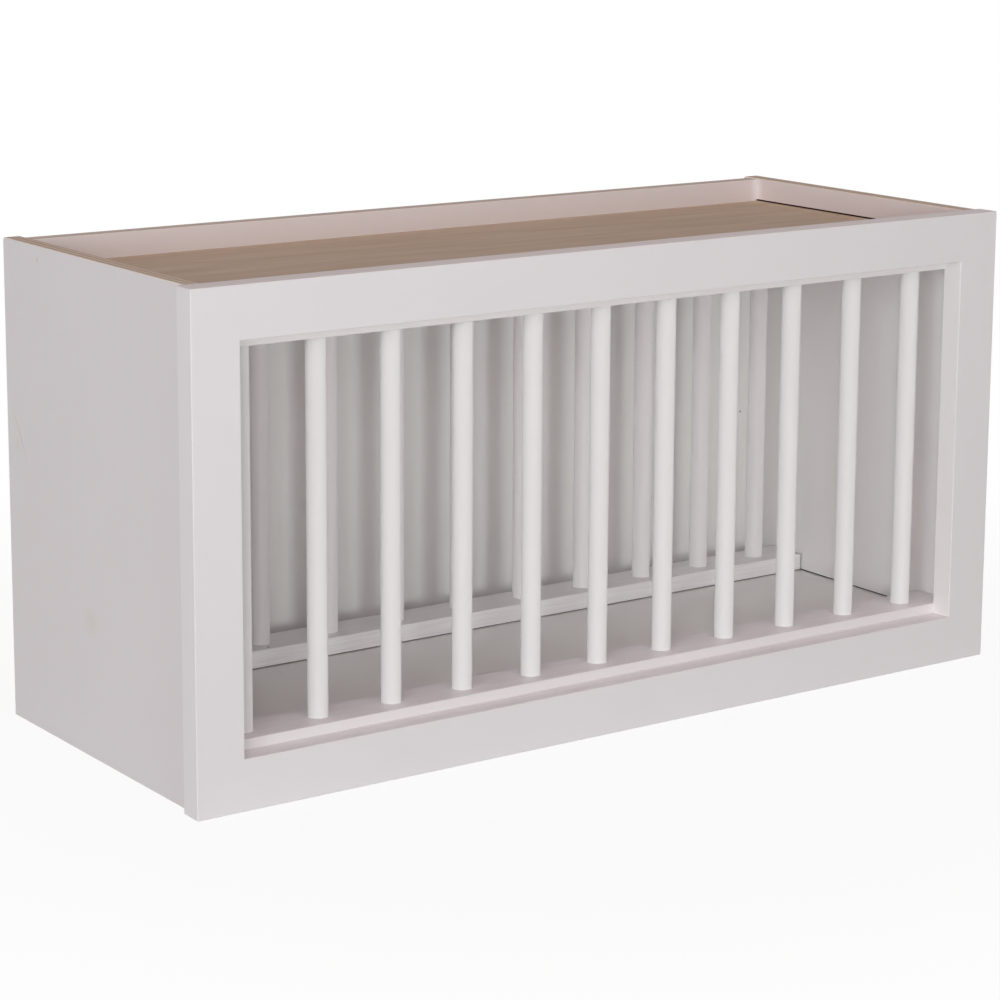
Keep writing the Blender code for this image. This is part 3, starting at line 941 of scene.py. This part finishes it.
def screw_points():
    """Rows of the screw from its tip to its head's middle, as rings of (x, y, z) about the Z axis.

    Shank radius = core + depth x ridge(height / pitch - angle / turn), tapered at the tip. The head is a dome
    that falls by the recess depth where the larger of |x| and |y| is less than half the recess.
    """
    angle = np.linspace(0, 2 * math.pi, SCREW_SIDES, endpoint=False)[None, :]
    height = np.linspace(-SCREW_LENGTH, 0, SCREW_ROWS)[:, None]
    phase = (height / THREAD_PITCH - angle / (2 * math.pi)) % 1.0
    ridge = np.clip(1 - THREAD_SHARPNESS * np.abs(phase - 0.5), 0, 1)
    taper = np.clip((height + SCREW_LENGTH) / TIP, TIP_SHARE, 1)
    shank = round_z((CORE_RADIUS + THREAD_DEPTH * ridge) * taper, angle, height)
    rim = round_z(HEAD_RADIUS, angle, np.array([0.0, RIM_SHARE * HEAD_HEIGHT])[:, None])
    inward = np.linspace(HEAD_RADIUS * CROWN_EDGE, HEAD_RADIUS * CROWN_MIDDLE, CROWN_ROWS)[:, None]
    farther = np.maximum(np.abs(inward * np.cos(angle)), np.abs(inward * np.sin(angle)))
    dome = HEAD_HEIGHT * (1 - (1 - RIM_SHARE) * (inward / HEAD_RADIUS) ** 4)
    recess = RECESS_DEPTH * np.clip((RECESS_HALF - farther) / RECESS_SLOPE, 0, 1)
    return np.concatenate([shank, rim, round_z(inward, angle, dome - recess)])


ZINC = "#c3c1b8"
ZINC_MOTTLE = 0.8 * MM
ZINC_SMOOTH, ZINC_ROUGH = 0.28, 0.48


def zinc(name):
    """Zinc plate: a dull bright metal with a faint mottled roughness from the bath."""
    material, tree, shader = new_material(name)
    place = add(tree, "TexCoord").outputs["Object"]
    mottle = add(tree, "TexNoise", {"Vector": place, "Scale": 1 / ZINC_MOTTLE, "Detail": 2.0})
    sheen = {"Value": mottle.outputs["Fac"], "To Min": ZINC_SMOOTH, "To Max": ZINC_ROUGH}
    tree.links.new(add(tree, "MapRange", sheen).outputs[0], shader.inputs["Roughness"])
    shader.inputs["Base Color"].default_value = linear(ZINC)
    shader.inputs["Metallic"].default_value = 1.0
    return material


# A dull grey glint in the pockets, broken up by the mottle.
zinc_plate = zinc("zinc_plated_steel")
POCKET_START, POCKET_LENGTH, POCKET_SIDES = -0.2 * MM, 70 * MM, 32
pocket_profile = [(POCKET_RADIUS, POCKET_START), (POCKET_RADIUS, POCKET_LENGTH)]
THREAD_SHARP_ANGLE = math.radians(50)
rings = screw_points()
screw_quads = ring_faces(len(rings), SCREW_SIDES, closed=False)
screw_caps = [np.arange(SCREW_SIDES)[::-1], (len(rings) - 1) * SCREW_SIDES + np.arange(SCREW_SIDES)]
cutters = []
for rail in ("top", "bottom"):
    for side, side_name in ((-1, "left"), (1, "right")):
        for number in (1, 2):
            node = f"pocket_screw_{rail}_{side_name}_{number}"
            low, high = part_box(node)
            joint = Vector((side * inner_high[0], (front_y + rear_y) / 2, (low.z + high.z) / 2))
            direction = Vector((side * math.cos(POCKET_ANGLE), -math.sin(POCKET_ANGLE), 0))
            turn = (-direction).to_track_quat("Z", "Y").to_matrix().to_4x4()
            place = Matrix.Translation(joint - direction * SEAT_SETBACK) @ turn
            screw = mesh_piece(node + "_threaded", rings.reshape(-1, 3), screw_quads, screw_caps)
            screw.data.transform(place)
            screw.data.set_sharp_from_angle(angle=THREAD_SHARP_ANGLE)
            set_materials(screw, [zinc_plate])
            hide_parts(node)
            cutters.append(turned("pocket", pocket_profile, POCKET_SIDES, place))
cut(face_frame, join(cutters))
print("frame faces after its pockets are cut", len(face_frame.data.polygons))

# %% [markdown]
# The brads stay inside the plywood, under filler and paint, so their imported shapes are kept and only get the
# metal.

# %% Brads
brads = [name for name in frame["nodes"] if name.startswith("brad_")]
for name in brads:
    set_materials(frame["nodes"][name], [zinc_plate])
print("brads", len(brads))

# %% [markdown]
# The imported model names a few kinds of surface. All new pieces ride on the one body, because nothing in the
# rack moves.

# %% Ride
new_pieces = [p for p in bpy.context.scene.objects if p.type == "MESH" and "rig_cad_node" not in p]
for piece in new_pieces:
    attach(piece, "root")
print("pieces on the body", len(new_pieces))

# %% [markdown]
# ## Stage
# The photograph's background is plain white, but a white room would light the rack too much. So the world is
# dim and a little pink where it lights the rack, and white only where it is seen, directly or mirrored, which
# Light Path can tell. The floor is matt white paint. It does the same, but keeps a share of its own shading
# near the rack, so that the shadow stays, and it is clear from below, for views of the underside.

# %% Floor and world
FLOOR_SIZE = 60.0
FLOOR_DROP = 0.2 * MM
FLOOR_WHITE = 0.92
NEAR, FAR = 0.40, 0.95
FLOOR_PAINT = (0.80, 0.79, 0.79, 1.0)
WHITE = (1.0, 1.0, 1.0, 1.0)


def background_rays(tree):
    """1 for rays that should see the white background: the camera's, and those from gloss or glass."""
    path = add(tree, "LightPath").outputs
    seen = add(tree, "Math", {0: path["Is Camera Ray"], 1: path["Is Glossy Ray"]}, operation="MAXIMUM")
    any_of = {0: seen.outputs[0], 1: path["Is Transmission Ray"]}
    return add(tree, "Math", any_of, operation="MAXIMUM").outputs[0]


half = FLOOR_SIZE / 2
floor_points = np.array([(-half, -half), (half, -half), (half, half), (-half, half)])
floor_points = np.column_stack([floor_points, np.full(4, -FLOOR_DROP)])
floor_piece = mesh_piece("floor", floor_points, np.array([[0, 1, 2, 3]]), smooth=False)
floor_piece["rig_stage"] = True
floor_material = bpy.data.materials.new("matt_white_floor")
floor_material.use_nodes = True
tree = floor_material.node_tree
tree.nodes.clear()
diffuse = add(tree, "BsdfDiffuse", {"Color": FLOOR_PAINT})
glow = add(tree, "Emission", {"Color": WHITE, "Strength": 1.0})
reach = add(tree, "VectorMath", {0: add(tree, "TexCoord").outputs["Object"]}, operation="LENGTH")
fading = {"Value": reach.outputs["Value"], "From Min": NEAR, "From Max": FAR, "To Min": FLOOR_WHITE}
white = add(tree, "MapRange", fading)
share = add(tree, "Math", {0: background_rays(tree), 1: white.outputs[0]}, operation="MULTIPLY")
lit = add(tree, "MixShader", {0: share.outputs[0], 1: diffuse.outputs[0], 2: glow.outputs[0]})
clear = add(tree, "BsdfTransparent")
side = add(tree, "NewGeometry")
both = add(tree, "MixShader", {0: side.outputs["Backfacing"], 1: lit.outputs[0], 2: clear.outputs[0]})
add(tree, "OutputMaterial", {"Surface": both.outputs[0]})
set_materials(floor_piece, [floor_material])

ROOM_LIGHT = (1.0, 0.88, 0.85, 1.0)
ROOM_LEVEL = 0.148
world = bpy.data.worlds.new("studio")
world.use_nodes = True
tree = world.node_tree
tree.nodes.clear()
room = add(tree, "Background", {"Color": ROOM_LIGHT, "Strength": ROOM_LEVEL})
backdrop = add(tree, "Background", {"Color": WHITE, "Strength": 1.0})
mixed = add(tree, "MixShader", {0: background_rays(tree), 1: room.outputs[0], 2: backdrop.outputs[0]})
add(tree, "OutputWorld", {"Surface": mixed.outputs[0]})
bpy.context.scene.world = world
print("floor", FLOOR_SIZE, "m, room level", ROOM_LEVEL)

# %% [markdown]
# Large soft lamps stand round the rack, as softboxes do in a studio. The key is low and in front and reaches
# into the case, three lamps on the left light the left side and the front, and a high one lights the bare
# top. Their levels were fitted to the photograph. Two more, on the right and behind, light the sides that the
# photograph doesn't show, and hardly reach the ones that it does.

# %% Lamps
AIM = Vector((0, 0, 0.19))


def softbox(name, azimuth, elevation, distance, size, level, colour):
    """A square lamp aimed at the rack; azimuth 0 is straight in front and negative ones are on the left.

    A flat lamp of W watts gives a card at distance d an irradiance of W / (pi d^2), and a white card shows
    that divided by pi. So the watts are level x (pi d)^2, where level is how bright the card should look.
    """
    a, e = math.radians(azimuth), math.radians(elevation)
    away = Vector((math.sin(a) * math.cos(e), -math.cos(a) * math.cos(e), math.sin(e)))
    lamp = bpy.data.lights.new(name, "AREA")
    lamp.size = size
    lamp.energy = level * (math.pi * distance) ** 2
    lamp.color = colour
    holder = bpy.data.objects.new(name, lamp)
    holder.location = AIM + away * distance
    holder.rotation_euler = away.to_track_quat("Z", "Y").to_euler()
    holder.visible_camera = False
    bpy.context.scene.collection.objects.link(holder)


# After each name: azimuth and elevation in degrees, distance and size in metres, level and colour.
softbox("key_softbox", -10, 6, 2.9, 0.7, 0.262, (0.93, 1.0, 0.97))
softbox("left_front_softbox", -30, 8, 5.0, 2.6, 0.124, (1.0, 0.88, 0.91))
softbox("left_softbox", -50, 10, 5.0, 2.6, 0.413, (0.94, 1.0, 1.0))
softbox("side_softbox", -80, 12, 5.0, 2.6, 0.138, (1.0, 0.91, 0.92))
softbox("overhead_softbox", 0, 68, 3.0, 1.6, 0.095, (1.0, 0.70, 0.72))
softbox("right_softbox", 95, 2, 3.0, 0.8, 0.40, (1.0, 0.95, 0.94))
softbox("back_softbox", 180, 2, 3.0, 0.8, 0.40, (1.0, 0.95, 0.94))
print("lamps", [lamp.name for lamp in bpy.data.lights])

# %% [markdown]
# ## Camera
# The photograph's camera was solved from the rack's straight edges. It is shifted by about two thirds of the
# picture's width, by its lens or by straightening, which keeps the uprights nearly parallel. Here the shift
# stays small, so that other views keep the rack in the picture. The camera was fitted again under that limit,
# and tips down instead.

# %% Camera
CAMERA_PLACE = (-1.3435, -1.8911, 0.6932)
CAMERA_TURN = (79.280, -0.304, -35.034)
LENS, SENSOR = 105.47, 36.0
SHIFT_UP = -0.12
CLIP = 0.05, 200.0

camera_data = bpy.data.cameras.new("camera")
camera_data.lens = LENS
camera_data.sensor_width = SENSOR
camera_data.shift_y = SHIFT_UP
camera_data.clip_start, camera_data.clip_end = CLIP
camera = bpy.data.objects.new("camera", camera_data)
camera.location = CAMERA_PLACE
camera.rotation_euler = [math.radians(angle) for angle in CAMERA_TURN]
bpy.context.scene.collection.objects.link(camera)
bpy.context.scene.camera = camera
bpy.context.scene.view_settings.view_transform = "Standard"
print("camera at", tuple(camera.location), "lens", LENS)

# %% [markdown]
# The dressed rack has to keep the imported model's size, so its box is measured.

# %% Sizes and finish
low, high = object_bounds()
